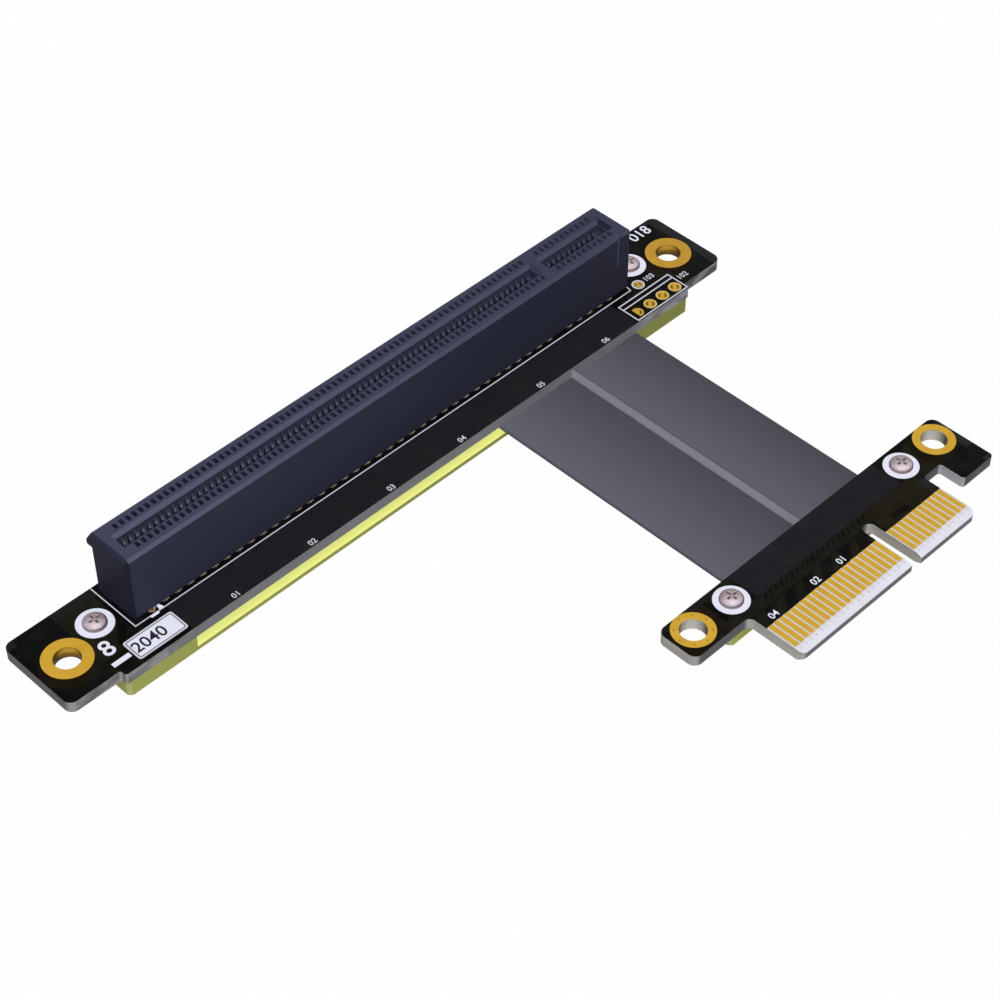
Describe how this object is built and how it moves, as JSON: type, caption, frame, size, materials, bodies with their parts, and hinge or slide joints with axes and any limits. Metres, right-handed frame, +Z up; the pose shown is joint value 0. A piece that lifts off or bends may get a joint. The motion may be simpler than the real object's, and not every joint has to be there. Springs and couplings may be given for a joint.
{
  "type": "pcie riser card",
  "caption": "Expansion-card riser: a long keyed edge socket on a narrow drilled board, joined by flat ribbon cables to a small board with a gold-plated plug-in edge tongue.",
  "frame": {"origin": "bottom centre of the whole assembly: the middle of the bounding box along X and Y, on the plane of the covers' undersides", "axes": "+X along the socket towards its key end, +Y from the small board with the edge tongue towards the long board with the socket, +Z up out of the socket's mouth"},
  "size_m": [0.1168, 0.07, 0.0145],
  "materials": {
    "board_mask": "black solder mask on a glass-fibre board, satin",
    "socket_plastic": "moulded dark blue-black thermoplastic, fine matte grain",
    "contact_metal": "gold-flashed copper alloy springs",
    "gold_plating": "gold plating, smooth",
    "screw_steel": "plain plated steel",
    "cover_plastic": "yellow-green moulded insulating cover",
    "ribbon_jacket": "grey ribbon jacket with a fine lengthwise weave",
    "bead_resin": "potting resin"
  },
  "bodies": {
    "root": {"main_board": "board_mask", "card_board": "board_mask", "slot_housing": "socket_plastic", "contacts_front": "contact_metal", "contacts_back": "contact_metal", "main_ring_left": "gold_plating", "main_ring_right": "gold_plating", "header_pads": "gold_plating", "test_pad": "gold_plating", "card_ring_left": "gold_plating", "card_ring_right": "gold_plating", "fingers_top": "gold_plating", "fingers_bottom": "gold_plating", "main_screws": "screw_steel", "card_screws": "screw_steel", "main_cover": "cover_plastic", "card_cover": "cover_plastic", "left_ribbon": "ribbon_jacket", "right_ribbon": "ribbon_jacket", "solder_beads": "bead_resin"}
  },
  "joints": []
}
